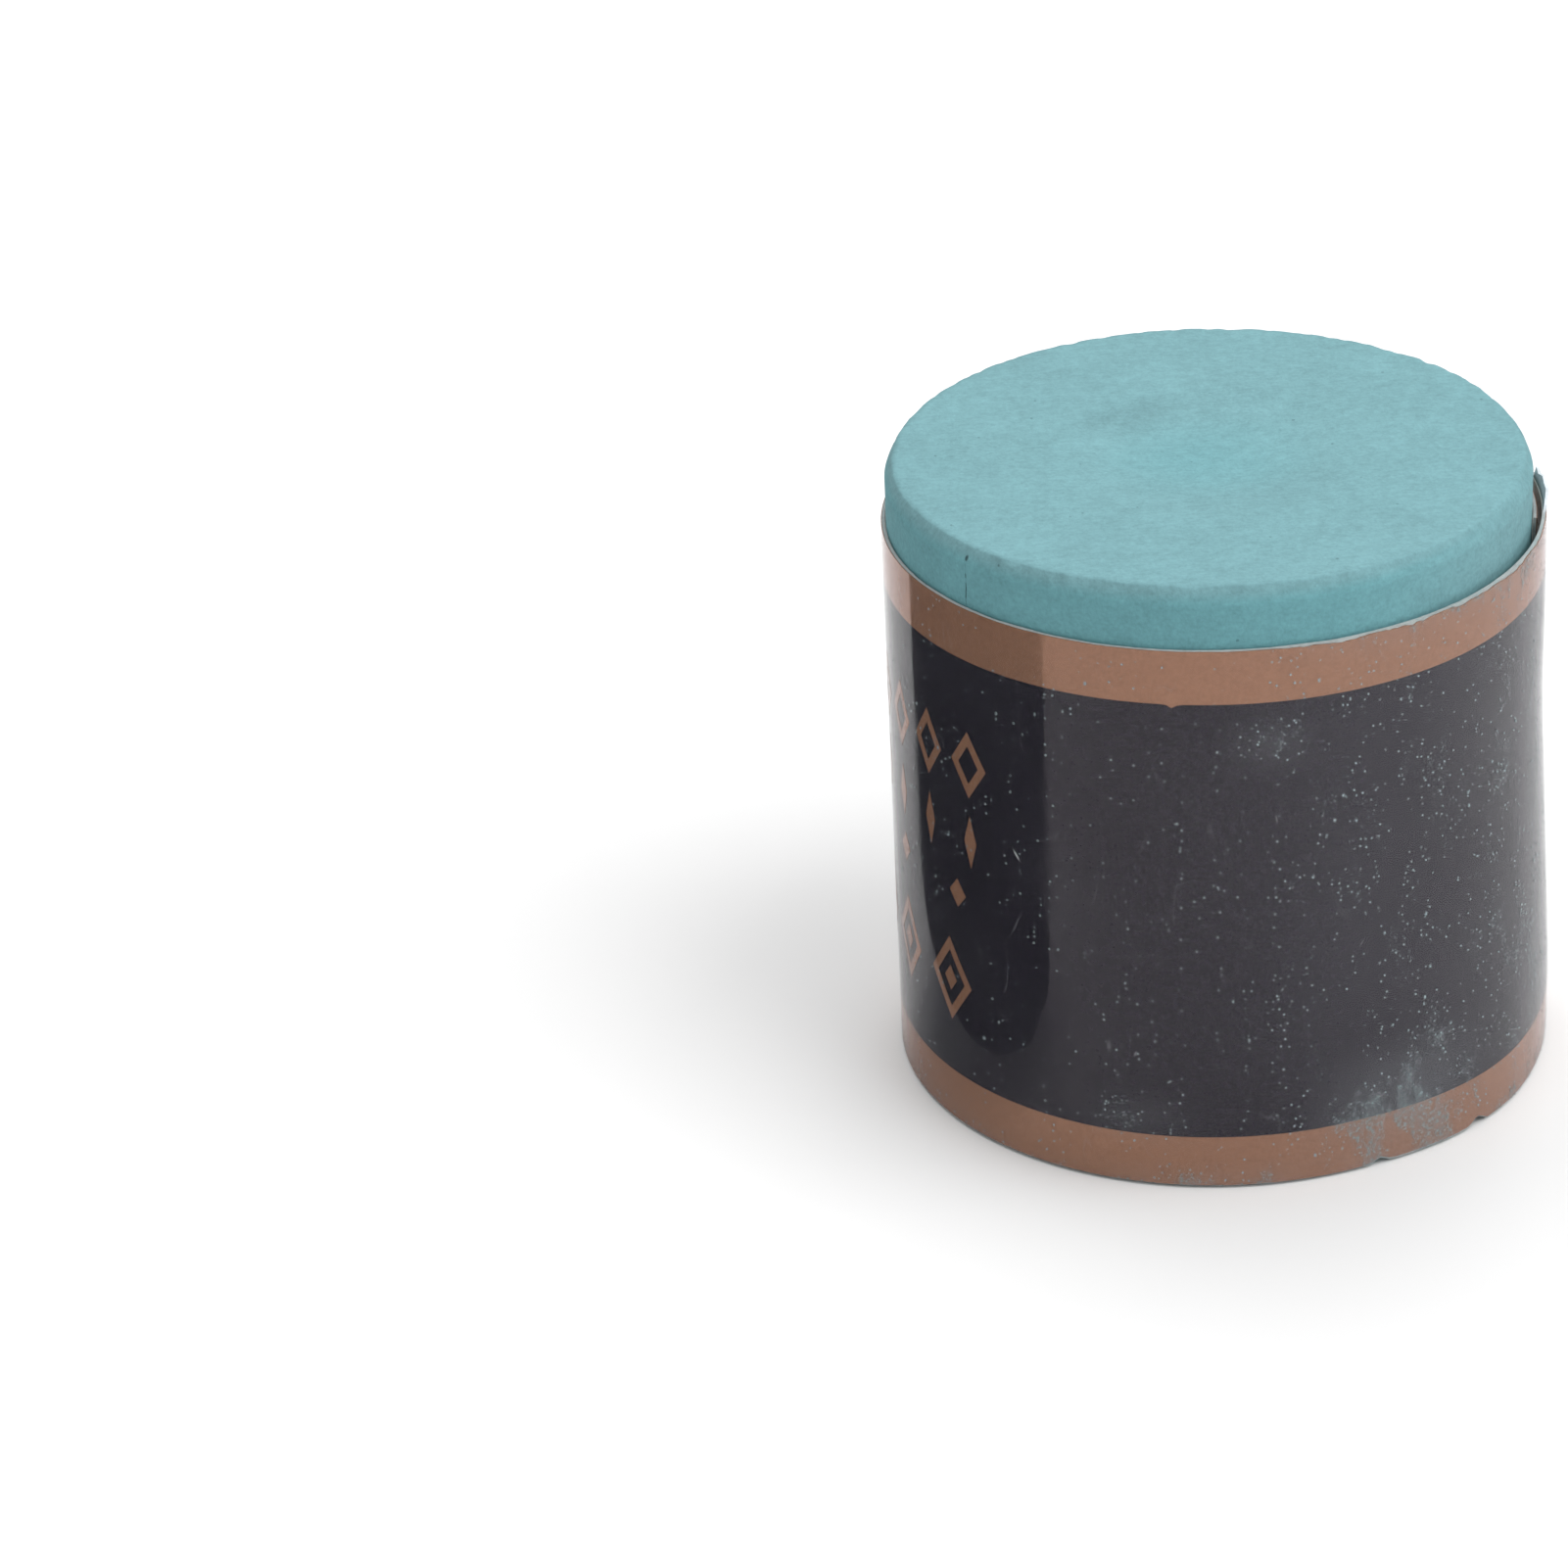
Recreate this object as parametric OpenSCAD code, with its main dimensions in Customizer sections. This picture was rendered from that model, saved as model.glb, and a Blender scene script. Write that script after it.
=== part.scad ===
// Round cue chalk in a printed paper label.
//
// The block stands on its foot at the origin, with +Z up through the working face. The
// printed motif faces -Y. Azimuths are in degrees about +Z, counted from the motif's
// middle and counter-clockwise from above. The label is one long strip, wound once round
// the block in that direction, so its outer end covers its inner end at the back.

/* [Chalk block] */
// Diameter of the pressed block
block_d = 22; // [18:0.5:26]
// Height of the pressed block
block_h = 22.55; // [18:0.05:27]
// Height of the blunt shoulder round the working face
shoulder_h = 0.6; // [0.2:0.05:1.5]
// How far the shoulder draws in towards the axis
shoulder_w = 0.25; // [0.1:0.05:1]
// Chamfer round the foot
foot_chamfer = 0.3; // [0.1:0.05:1]
// Diameter of the shallow dish that the cue tip wears in the working face
dish_d = 11; // [6:0.5:16]
// Depth of the dish in the middle
dish_depth = 0.35; // [0.1:0.05:1]

/* [Label] */
// Bare chalk above the label
collar_h = 2.1; // [1:0.05:4]
// Bare chalk below the label
toe_h = 0.1; // [0.05:0.05:1]
// Thickness of the glue
glue_t = 0.03; // [0.02:0.01:0.1]
// Thickness of the white paper
paper_t = 0.1; // [0.05:0.01:0.3]
// Thickness of the printed layer
print_t = 0.03; // [0.02:0.01:0.1]
// Thickness of the clear film
film_t = 0.04; // [0.02:0.01:0.1]
// Width of each copper band
band_w = 1.95; // [1:0.05:4]

/* [Lap] */
// Azimuth where the outer end of the label stops
lap_end = 172; // [150:1:200]
// Arc over which the outer end covers the inner end
lap_arc = 18; // [8:1:30]
// Arc over which the outer end has let go of the block
loose_arc = 107; // [60:1:140]
// Gap between the outer end and the inner end that it covers
lap_gap = 0.1; // [0.05:0.05:0.8]

/* [Torn tab] */
// Height of the torn tab above the label's upper edge
tab_h = 0.55; // [0.2:0.05:3]
// Width of the torn tab at its root
tab_w = 3.4; // [1:0.1:5]
// Distance from the torn tab to the outer end of the label
tab_inset = 0.3; // [0.1:0.1:3]

/* [Motif] */
// Height of the framed diamonds in the lowest row
framed_h = 3.3; // [2:0.1:4]
// Height of the open diamonds in the highest row
open_h = 2.5; // [1.5:0.1:3]
// Height of the slim diamonds in the second row
slim_h = 2; // [1:0.1:2.5]
// Height of the small diamonds in the third row
small_h = 1.1; // [0.5:0.1:1.6]
// Width of the line that draws the open and framed diamonds
line_w = 0.3; // [0.15:0.05:0.45]

/* [Hidden] */
$fn = 160;

// Block
block_r = block_d / 2;
shoulder_steps = 6;
dish_r = (pow(dish_d / 2, 2) + pow(dish_depth, 2)) / (2 * dish_depth);

// Layers of the label, as heights off the surface that it is wound on
paper_in = glue_t;
print_in = paper_in + paper_t;
film_in = print_in + print_t;
label_t = film_in + film_t;

// Edges of the label and of what is printed on it
label_low = toe_h;
label_high = block_h - collar_h;
label_mid = (label_low + label_high) / 2;
field_low = label_low + band_w;
field_high = label_high - band_w;

// The loose end lies on a wider arc that leaves the block's side without a kink: its
// centre is moved back from the block's axis by as much as its radius is larger. The rise
// is a whole number of hundredths, so that both arcs start from one and the same face.
held_arc = 360 + lap_arc - loose_arc;
loose_from = lap_end - loose_arc;
loose_rise = ceil(100 * (label_t + lap_gap) / (1 - cos(loose_arc - lap_arc))) / 100;

// Torn tab: how far it reaches down into the label, and its azimuth
tab_root = 0.4;
tab_at = lap_end - (tab_inset + tab_w / 2) / block_r * 180 / PI;

// Motif rows: steps between neighbours in degrees, and heights above the label's middle
row_gap = 0.7;
open_step = 12;
slim_step = 12;
small_step = 20;
framed_step = 17;
slim_z = slim_h / 2 + row_gap / 2;
open_z = slim_z + slim_h / 2 + row_gap + open_h / 2;
small_z = -small_h / 2 - row_gap / 2;
framed_z = small_z - small_h / 2 - 2 * row_gap - framed_h / 2;

// Turns a child that faces -Y to an azimuth
module face_towards(azimuth) {
    rotate([0, 0, azimuth])
        children();
}

// Strip standing on its edge, bent round Z from the +X axis; a negative arc runs clockwise
module bent_strip(radius, arc, inner, outer, low, high) {
    rotate_extrude(angle = arc)
        translate([radius + inner, low])
            square([outer - inner, high - low]);
}

// The part of a layer that still sticks to the block
module held_layer(inner, outer, low, high) {
    rotate([0, 0, loose_from - 90])
        bent_strip(block_r, -held_arc, inner, outer, low, high);
}

// The part of a layer that has let go
module loose_layer(inner, outer, low, high) {
    rotate([0, 0, loose_from - 90])
        translate([-loose_rise, 0, 0])
            bent_strip(block_r + loose_rise, loose_arc, inner, outer, low, high);
}

// One whole layer of the label, between two heights off the block and two edges
module label_layer(inner, outer, low, high) {
    held_layer(inner, outer, low, high);
    loose_layer(inner, outer, low, high);
}

// Prism that cuts an outline, drawn upright, out of the label at an azimuth
module punch(azimuth, z) {
    face_towards(azimuth)
        translate([0, 0, z])
            rotate([90, 0, 0])
                linear_extrude(height = block_d)
                    children();
}

module diamond(w, h) {
    polygon([[-w / 2, 0], [0, -h / 2], [w / 2, 0], [0, h / 2]]);
}

module open_diamond(w, h) {
    edge = norm([w, h]);
    difference() {
        diamond(w, h);
        diamond(w - 2 * line_w * edge / h, h - 2 * line_w * edge / w);
    }
}

module framed_diamond(w, h) {
    open_diamond(w, h);
    diamond(w * 0.3, h * 0.3);
}

// Torn outline, from its root upwards, as shares of the tab's width and height
module torn_outline() {
    ragged = [[0, 0], [0.06, 0.5], [0.2, 0.72], [0.34, 1], [0.52, 0.86], [0.66, 0.94],
              [0.83, 0.62], [1, 0.7], [1, 0]];
    translate([-tab_w / 2, 0])
        polygon([for (p = ragged) [p[0] * tab_w, p[1] * tab_h]]);
    translate([-tab_w / 2, -tab_root])
        square([tab_w, tab_root]);
}

// Rows of diamonds like the sights on a table's rail
module motif_prisms() {
    for (i = [-2 : 2])
        punch(i * open_step, label_mid + open_z)
            open_diamond(0.68 * open_h, open_h);
    for (i = [-2 : 2])
        punch(i * slim_step, label_mid + slim_z)
            diamond(0.3 * slim_h, slim_h);
    for (i = [-1 : 1])
        punch(i * small_step, label_mid + small_z)
            diamond(0.8 * small_h, small_h);
    for (i = [-1 : 1])
        punch(i * framed_step, label_mid + framed_z)
            framed_diamond(0.7 * framed_h, framed_h);
}

module chalk_block() {
    shoulder = [for (i = [0 : shoulder_steps])
        let (turn = 90 * i / shoulder_steps)
        [
            block_r - shoulder_w * (1 - cos(turn)),
            block_h - shoulder_h * (1 - sin(turn))
        ]
    ];
    color("#7fb3b9")
    difference() {
        rotate_extrude()
            polygon(concat(
                [[0, 0], [block_r - foot_chamfer, 0], [block_r, foot_chamfer]],
                shoulder,
                [[0, block_h]]
            ));
        translate([0, 0, block_h - dish_depth + dish_r])
            sphere(r = dish_r);
    }
}

module adhesive_coat() {
    color("#d8d2c0")
        label_layer(0, paper_in, label_low, label_high);
}

module label_paper() {
    color("#e8e6e2") {
        label_layer(paper_in, print_in, label_low, label_high);
        intersection() {
            loose_layer(paper_in, print_in, label_high - tab_root, label_high + tab_h);
            punch(tab_at, label_high)
                torn_outline();
        }
    }
}

module black_field() {
    color("#26262a")
    difference() {
        label_layer(print_in, film_in, field_low, field_high);
        motif_prisms();
    }
}

module upper_band() {
    color("#96745f")
        label_layer(print_in, film_in, field_high, label_high);
}

module lower_band() {
    color("#96745f")
        label_layer(print_in, film_in, label_low, field_low);
}

module printed_motif() {
    color("#96745f")
    intersection() {
        held_layer(print_in, film_in, field_low, field_high);
        motif_prisms();
    }
}

module clear_film() {
    color("#dfe6ec", 0.35)
        label_layer(film_in, label_t, label_low, label_high);
}

chalk_block();
adhesive_coat();
label_paper();
black_field();
upper_band();
lower_band();
printed_motif();
clear_film();
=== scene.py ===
# %% [markdown]
# # Round cue chalk in a printed paper label
#
# A cue chalk is a small pressed block that a player rubs on the tip of a cue. This one is
# round. Its working face is bare and worn into a faint hollow, and a long paper label is
# wound once round its side. The label has come unstuck at its outer end, where a corner of
# the paper is torn.
#
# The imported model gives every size. We load it first, and then replace its plain solids
# with detailed pieces that take up the same space.

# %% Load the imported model
import math

import bmesh
import bpy
from mathutils import Matrix, Vector, noise


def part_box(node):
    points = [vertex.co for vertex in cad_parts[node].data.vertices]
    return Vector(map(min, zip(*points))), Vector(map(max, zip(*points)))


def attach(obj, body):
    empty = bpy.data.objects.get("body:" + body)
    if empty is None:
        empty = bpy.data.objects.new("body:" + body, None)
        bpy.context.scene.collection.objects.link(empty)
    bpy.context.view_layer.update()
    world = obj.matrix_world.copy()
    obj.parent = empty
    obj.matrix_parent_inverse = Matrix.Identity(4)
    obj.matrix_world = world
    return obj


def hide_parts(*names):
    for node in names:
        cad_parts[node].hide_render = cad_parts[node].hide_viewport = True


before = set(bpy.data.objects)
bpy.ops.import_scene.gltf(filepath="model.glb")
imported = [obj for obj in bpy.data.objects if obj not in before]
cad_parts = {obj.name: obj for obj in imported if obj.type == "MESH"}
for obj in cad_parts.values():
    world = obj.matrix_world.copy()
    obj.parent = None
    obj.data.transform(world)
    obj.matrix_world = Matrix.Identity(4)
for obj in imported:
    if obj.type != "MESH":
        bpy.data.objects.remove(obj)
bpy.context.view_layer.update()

MM = 0.001

# %% [markdown]
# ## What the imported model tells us
#
# The block's radius and height come from its box. The label is a stack of four layers, and
# each layer's outer face shows on the side where the label is stuck down, at the lowest X.
# Three numbers describe how the label is wound. They aren't in any box, so they are
# written here as they are in the design.

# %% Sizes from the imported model
block_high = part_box("chalk_block")[1]
BLOCK_R = block_high.x
BLOCK_H = block_high.z
LABEL_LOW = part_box("clear_film")[0].z
LABEL_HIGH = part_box("clear_film")[1].z
FIELD_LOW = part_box("lower_band")[1].z
FIELD_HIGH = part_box("upper_band")[0].z
TAB_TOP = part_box("label_paper")[1].z


def outer_face(node):
    """How far a layer's outer face stands off the block."""
    return -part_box(node)[0].x - BLOCK_R


GLUE_OUT = outer_face("adhesive_coat")
PAPER_OUT = outer_face("label_paper")
PRINT_OUT = outer_face("black_field")
FILM_OUT = outer_face("clear_film")

# Azimuths are in degrees, counted from the motif's middle, which faces -Y
LAP_END = 172
LAP_ARC = 18
LOOSE_ARC = 107
INNER_END = LAP_END - LAP_ARC - 360
LOOSE_FROM = LAP_END - LOOSE_ARC
LOOSE_RISE = 0.31 * MM
print("label layers, mm:", [round(t / MM, 3) for t in (GLUE_OUT, PAPER_OUT, PRINT_OUT, FILM_OUT)])

# %% [markdown]
# ## The camera
#
# It stands a little above the chalk and looks down at it through a long lens, from 70
# degrees round the side. It is turned and not shifted, which puts the chalk to the right of
# the middle of the view. A slight roll is left in, as when a camera is held by hand.

# %% Camera
CAMERA_AZIMUTH = math.radians(70)
CAMERA_AWAY = 151.7 * MM
CAMERA_ASIDE = 0.36 * MM
CAMERA_UP = 90 * MM
CAMERA_PITCH = math.radians(27.74)
CAMERA_TURN = math.radians(5.79)
CAMERA_ROLL = math.radians(-3.05)

round_the_side = Matrix.Rotation(CAMERA_AZIMUTH, 3, "Z")
camera_data = bpy.data.cameras.new("camera")
camera_data.lens = 111.5
camera_data.clip_start = 0.005
camera_data.clip_end = 20
camera = bpy.data.objects.new("camera", camera_data)
camera.location = round_the_side @ Vector((CAMERA_ASIDE, -CAMERA_AWAY, CAMERA_UP))
camera.rotation_euler = (
    round_the_side
    @ Matrix.Rotation(CAMERA_TURN, 3, "Z")
    @ Matrix.Rotation(math.pi / 2 - CAMERA_PITCH, 3, "X")
    @ Matrix.Rotation(CAMERA_ROLL, 3, "Z")
).to_euler()
bpy.context.scene.collection.objects.link(camera)
bpy.context.scene.camera = camera
print("camera:", camera_data.lens, "mm lens,", round(camera.location.length / MM), "mm away")

# %% [markdown]
# ## Helpers for meshes
#
# Each piece is drawn in a bmesh and then turned into an object that stays at the origin,
# so that a pattern on Object coordinates reads the same place on every piece.

# %% From a bmesh to a piece that rides on the object
def to_object(bm, name):
    """Turns a bmesh into an object at the origin."""
    mesh = bpy.data.meshes.new(name)
    bm.to_mesh(mesh)
    bm.free()
    obj = bpy.data.objects.new(name, mesh)
    bpy.context.scene.collection.objects.link(obj)
    return obj


def to_piece(bm, name, node, crease=None):
    """Makes a smooth-shaded piece that stands for a CAD node; edges over crease stay sharp."""
    piece = to_object(bm, name)
    piece.data.shade_smooth()
    if crease:
        piece.data.set_sharp_from_angle(angle=math.radians(crease))
    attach(piece, "root")
    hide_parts(node)
    print(name, "has", len(piece.data.polygons), "faces")
    return piece


def ease(x, low, high):
    """0 below low, 1 above high, and a smooth step between them."""
    t = min(max((x - low) / (high - low), 0), 1)
    return t * t * (3 - 2 * t)


def hump(x, middle, reach):
    """1 in the middle, and falling smoothly to 0 at a distance of reach from it."""
    return 1 - ease(abs(x - middle), 0, reach)


def heading(degrees):
    """Unit vector out from the axis at an azimuth."""
    return Vector((math.sin(math.radians(degrees)), -math.cos(math.radians(degrees)), 0))


def rough(point, size, seed=0.0):
    """Smooth noise from about -1 to 1, whose bumps are size across."""
    return noise.noise(point / size + Vector((seed, seed * 1.7, -seed)))


# %% [markdown]
# ## The chalk block
#
# The block is powder pressed in a round mould. Its rim isn't a sharp edge: it is a blunt
# shoulder, about half a millimetre high, that crumbles a little with use. We spin a
# profile round the axis to make the block, with short steps where it shows and long ones
# where the label hides it, and then push the points about to wear it: a faint hollow in
# the working face, grains and pits, and a nibbled rim.

# %% Profile of the block, from the middle of its working face to the middle of its foot
SHOULDER_H = 0.6 * MM
SHOULDER_W = 0.3 * MM
FOOT_CHAMFER = 0.3 * MM
ROUND_STEPS = 480
SHOULDER_STEPS = 10
BLUNTNESS = 0.7
HIDDEN_UNDER_LABEL = 0.6 * MM


def run(start, end, steps):
    """Points from start to end, without the last one."""
    return [start.lerp(end, i / steps) for i in range(steps)]


def block_profile():
    """The block's outline from the middle of its face, over the shoulder, to its foot."""
    face_r = BLOCK_R - SHOULDER_W
    shoulder_low = BLOCK_H - SHOULDER_H
    hidden = LABEL_HIGH - HIDDEN_UNDER_LABEL
    points = run(Vector((0, 0, BLOCK_H)), Vector((face_r, 0, BLOCK_H)), 56)
    for i in range(SHOULDER_STEPS):
        part = i / SHOULDER_STEPS
        turn = math.pi / 2 * part
        rounded = Vector((math.sin(turn), 0, math.cos(turn)))
        blunt = rounded.lerp(Vector((part, 0, 1 - part)), BLUNTNESS)
        across = face_r + SHOULDER_W * blunt.x
        points.append(Vector((across, 0, shoulder_low + SHOULDER_H * blunt.z)))
    points += run(Vector((BLOCK_R, 0, shoulder_low)), Vector((BLOCK_R, 0, hidden)), 16)
    points += run(Vector((BLOCK_R, 0, hidden)), Vector((BLOCK_R, 0, FOOT_CHAMFER)), 12)
    points += run(
        Vector((BLOCK_R, 0, FOOT_CHAMFER)), Vector((BLOCK_R - FOOT_CHAMFER, 0, 0)), 2)
    points += run(Vector((BLOCK_R - FOOT_CHAMFER, 0, 0)), Vector((0, 0, 0)), 14)
    return points + [Vector((0, 0, 0))]


# %% Wear
DISH_R = 5.5 * MM
DISH_DEPTH = 0.34 * MM


def worn(point):
    """Where a point of the fresh block ends up after use."""
    radius = math.hypot(point.x, point.y)
    out = Vector((point.x, point.y, 0)).normalized() if radius > 0.01 * MM else Vector()
    on_face = ease(point.z, BLOCK_H - 1.2 * SHOULDER_H, BLOCK_H)
    on_side = 1 - ease(abs(radius - BLOCK_R), 0, 0.3 * MM)
    near_rim = on_face * ease(radius, BLOCK_R - 1.4 * MM, BLOCK_R - 0.2 * MM)
    dish_edge = DISH_R * (1 + 0.05 * rough(point, 4 * MM, 2))
    dish = max(0, 1 - (radius / dish_edge) ** 2) ** 1.25 if on_face > 0.99 else 0

    drop = DISH_DEPTH * dish
    drop += on_face * 0.02 * MM * rough(point, 2.6 * MM, 3)
    drop += on_face * 0.014 * MM * rough(point, 0.6 * MM, 5)
    nibble = max(0, rough(point, 1.1 * MM, 11) - 0.1) + 0.9 * max(0, rough(point, 0.4 * MM, 13))
    drop += near_rim * 0.05 * MM * nibble
    inwards = near_rim * 0.055 * MM * nibble
    inwards += on_side * (0.012 * MM * rough(point, 1.6 * MM, 7) + 0.012 * MM)
    above_foot = ease(point.z, 0, 0.1 * MM)
    return point - Vector((0, 0, drop * on_face)) - out * inwards * above_foot


# %% Spin the block and wear it
bm = bmesh.new()
points = [bm.verts.new(p) for p in block_profile()]
edges = [bm.edges.new(pair) for pair in zip(points, points[1:])]
bmesh.ops.spin(
    bm, geom=points + edges, axis=(0, 0, 1), cent=(0, 0, 0),
    angle=math.tau, steps=ROUND_STEPS, use_merge=True,
)
bmesh.ops.remove_doubles(bm, verts=bm.verts, dist=0.001 * MM)
for vert in bm.verts:
    vert.co = worn(vert.co)
bmesh.ops.recalc_face_normals(bm, faces=bm.faces)
pressed_chalk = to_piece(bm, "pressed_chalk", "chalk_block")

# %% [markdown]
# ## How the label is wound
#
# Every layer of the label is a flat strip that has been wound round the block. So we make
# each one flat and then wind it with the same rule, which keeps the layers on top of each
# other. Most of the strip lies on a circle round the block's axis. The part that has come
# unstuck lies on a slightly wider circle that starts from the same tangent. It ripples a
# little and flares out towards its foot, because nothing holds it flat any more.

# %% The rule that winds a strip
def ripple(azimuth, z):
    """How far the loose part of the label waves and flares off its smooth path."""
    loose = ease(azimuth, LOOSE_FROM + 5, LAP_END)
    flare = ease(azimuth, 92, 134) * (1 - ease(z, 2 * MM, 15.5 * MM))
    waves = rough(Vector((azimuth * 0.19 * MM, z, 0)), 5 * MM, 23)
    return loose * 0.035 * MM * waves + flare * 0.45 * MM


def curl(azimuth, z):
    """How far the torn tab leans out above the label's upper edge."""
    above = max(0, z - LABEL_HIGH) / (TAB_TOP - LABEL_HIGH)
    return 0.13 * MM * above ** 1.5


def on_strip(azimuth, z, off):
    """The place of a point on the label: its azimuth, height and distance off the block."""
    off += ripple(azimuth, z) + curl(azimuth, z)
    if azimuth < LOOSE_FROM:
        return heading(azimuth) * (BLOCK_R + off) + Vector((0, 0, z))
    centre = -LOOSE_RISE * heading(LOOSE_FROM)
    return centre + heading(azimuth) * (BLOCK_R + LOOSE_RISE + off) + Vector((0, 0, z))


# %% [markdown]
# ## Where the dust lies
#
# Chalk dust gets on the label as it is handled. There is a little everywhere, more along
# the two edges, and most on the part that has come unstuck, with one thick patch low down.
# Each point of the label keeps its own share of dust, which the materials read later.

# %% Dust on the label
def dustiness(azimuth, z):
    """How much chalk dust lies at a place on the label, from 0 to 1."""
    place = Vector((math.radians(azimuth) * BLOCK_R, z, 0))
    handled = 0.1 + 0.2 * ease(azimuth, 55, 105) + 0.1 * ease(azimuth, 95, 150)
    handled += 0.06 * rough(place, 4 * MM, 61)
    low_patch = 0.75 * hump(azimuth, 104, 24) * hump(z, 2.6 * MM, 2.9 * MM)
    patch = low_patch * (1 + 0.5 * rough(place, 1.1 * MM, 65))
    patch += 0.3 * hump(azimuth, 57, 15) * hump(z, 2.7 * MM, 1.4 * MM)
    patch += 0.3 * hump(azimuth, 80, 11) * hump(z, 17 * MM, 1.6 * MM)
    low_edge = 1 - ease(z, LABEL_LOW, LABEL_LOW + 1.1 * MM)
    edges = 0.5 * low_edge * (0.6 + 0.8 * rough(place, 2 * MM, 63))
    edges += 0.3 * ease(azimuth, 70, 110) * ease(z, LABEL_HIGH - 1.3 * MM, LABEL_HIGH)
    return min(max(handled + patch + edges, 0), 1)


# %% [markdown]
# ## Flat strips
#
# A strip starts as a grid one unit long and one unit high, and gets its thickness with
# Solidify while it is flat. Then each point is wound into place. The strip's lower and
# upper edges are functions of the azimuth, so an edge can be cut straight or torn. The
# columns crowd together towards the outer end, where the torn tab needs them, and the
# rows crowd together towards the upper edge.

# %% Make a strip
def flat_grid(columns, rows):
    """A closed flat slab from 0 to 1 along X, Y and Z."""
    bm = bmesh.new()
    bmesh.ops.create_grid(bm, x_segments=columns, y_segments=rows, size=0.5)
    bmesh.ops.translate(bm, verts=bm.verts, vec=(0.5, 0.5, 0))
    bmesh.ops.solidify(bm, geom=bm.faces[:], thickness=1)
    lowest = min(v.co.z for v in bm.verts)
    bmesh.ops.translate(bm, verts=bm.verts, vec=(0, 0, -lowest))
    return bm


def crowd(x, amount):
    """Moves points that are spread evenly from 0 to 1 closer together towards 1."""
    return 1 - (1 - x) ** amount


def end_wear(z):
    """How many degrees the label's outer end is worn back at a height."""
    place = Vector((0, z, 0))
    corner = 1 - ease(z, LABEL_LOW, LABEL_LOW + 0.5 * MM)
    ragged = 0.9 * rough(place, 5 * MM, 71) + 0.35 * rough(place, 0.5 * MM, 73)
    return 0.9 + ragged + 1.2 * corner


def wind(bm, inner, outer, low, high, start=INNER_END, end=LAP_END, along=1.6, up=1.5):
    """Winds a flat grid round the block between two distances off it and two edges."""
    strip = bm.verts.layers.float_vector.new("strip")
    dust = bm.verts.layers.float.new("dust")
    for vert in bm.verts:
        azimuth = start + (end - start) * crowd(vert.co.x, along)
        bottom, top = low(azimuth), high(azimuth)
        z = bottom + (top - bottom) * crowd(vert.co.y, up)
        azimuth -= end_wear(z) * ease(azimuth, end - 6, end)
        off = inner + (outer - inner) * vert.co.z
        vert[strip] = (math.radians(azimuth) * BLOCK_R, z, off)
        vert[dust] = dustiness(azimuth, z)
        vert.co = on_strip(azimuth, z, off)
    bmesh.ops.recalc_face_normals(bm, faces=bm.faces)


# %% [markdown]
# ## Edges of the label
#
# The paper was cut straight, but its upper edge is furred by use. Along the loose part
# the print and the film have been scuffed back from the edge, so a thin white line of
# bare paper shows there. At the outer end a corner of the paper is torn into a tab.

# %% Cut, furred and torn edges
TAB_W = 3.4 * MM
TAB_INSET = 0.3 * MM
TAB_OUTLINE = [
    (0, 0), (0.06, 0.5), (0.2, 0.72), (0.34, 1), (0.52, 0.86), (0.66, 0.94),
    (0.83, 0.62), (1, 0.7), (1.001, 0),
]


def fray(azimuth, seed):
    """Irregular line from about 0 to 1 along an edge, with fine fibres in it."""
    place = Vector((math.radians(azimuth) * BLOCK_R, 0, 0))
    waves = 0.5 + 0.5 * rough(place, 1.3 * MM, seed)
    fibres = 0.5 + 0.5 * rough(place, 0.21 * MM, seed + 1)
    return 0.65 * waves + 0.35 * fibres


def tab_height(azimuth):
    """Height of the torn tab above the label's upper edge."""
    from_end = math.radians(LAP_END - azimuth) * BLOCK_R
    x = (TAB_W + TAB_INSET - from_end) / TAB_W
    for (x0, y0), (x1, y1) in zip(TAB_OUTLINE, TAB_OUTLINE[1:]):
        if x0 <= x < x1:
            share = y0 + (y1 - y0) * (x - x0) / (x1 - x0)
            torn = 1 - 0.16 * fray(azimuth, 31)
            return share * torn * (TAB_TOP - LABEL_HIGH)
    return 0


def notches(azimuth):
    """Two places where the lower edge has been dented upwards."""
    return 0.16 * MM * hump(azimuth, 100, 2.2) + 0.26 * MM * hump(azimuth, 121, 2.8)


def paper_low(azimuth):
    return LABEL_LOW + 0.03 * MM * fray(azimuth, 41) + notches(azimuth)


def paper_high(azimuth):
    return LABEL_HIGH - 0.06 * MM * fray(azimuth, 43) + tab_height(azimuth)


def scuffed(azimuth):
    """How much the print is worn back from the upper edge, from 0 to 1."""
    return ease(azimuth, 66, 100) * (1 - 0.75 * ease(azimuth, 148, 166))


def print_low(azimuth):
    worn_back = 0.03 * MM + 0.25 * MM * hump(azimuth, 112, 22) * fray(azimuth, 51) ** 2
    return LABEL_LOW + worn_back + notches(azimuth)


def print_high(azimuth):
    back = 0.045 * MM * fray(azimuth, 45) + scuffed(azimuth) * 0.34 * MM * fray(azimuth, 47) ** 2.5
    return LABEL_HIGH - 0.02 * MM - back


def field_high(azimuth):
    """Edge between the upper band and the black, with a nick where the ink has run."""
    return FIELD_HIGH - 0.13 * MM * hump(azimuth, 64, 1.3)


def film_high(azimuth):
    return print_high(azimuth) + 0.004 * MM


# %% [markdown]
# ## The label's layers
#
# The real label is one laminate of glue, paper, ink and clear film. A single strip could
# carry all four as colours, but they show at its edges, where white paper peeps out beyond
# the worn print. So each layer is a strip of its own, between its own two edges. An edge
# that turns by more than the crease angle is shaded sharp, as a cut edge is.

# %% Glue and paper
CREASE = 40
bm = flat_grid(260, 20)
wind(bm, 0.002 * MM, GLUE_OUT, paper_low, lambda a: LABEL_HIGH - 0.09 * MM)
glue = to_piece(bm, "label_glue", "adhesive_coat", CREASE)

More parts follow.
